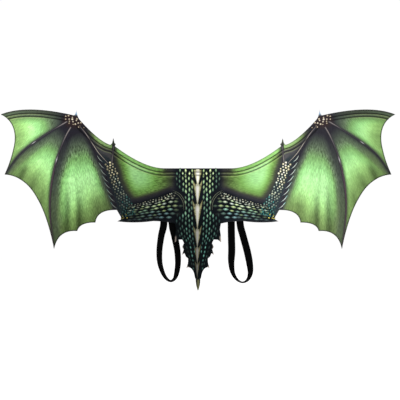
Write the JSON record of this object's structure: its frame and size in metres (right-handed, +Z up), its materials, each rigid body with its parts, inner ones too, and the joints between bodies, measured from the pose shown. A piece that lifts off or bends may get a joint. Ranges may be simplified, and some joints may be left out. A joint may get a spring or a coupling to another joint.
{
  "type": "costume wings",
  "caption": "Scalloped dragon wings with a barbed tail, cut from a printed cloth panel with casings along the top edge, worn on the back by elastic arm loops.",
  "frame": {"origin": "back face of the panel on its centre line, between the sewn ends of the arm loops, where it lies on the wearer's back", "axes": "+X along the span to the right of someone facing the printed side, +Y from the print towards the wearer, +Z up"},
  "size_m": [1.1, 0.0325, 0.5049],
  "materials": {
    "printed_cloth": "matte printed nonwoven",
    "casing_tape": "matte woven tape",
    "black_elastic": "matte ribbed elastic"
  },
  "bodies": {
    "root": {"wing_panel": "printed_cloth", "casing_middle": "casing_tape", "casing_left": "casing_tape", "casing_right": "casing_tape", "strap_left": "black_elastic", "strap_right": "black_elastic"}
  },
  "joints": []
}
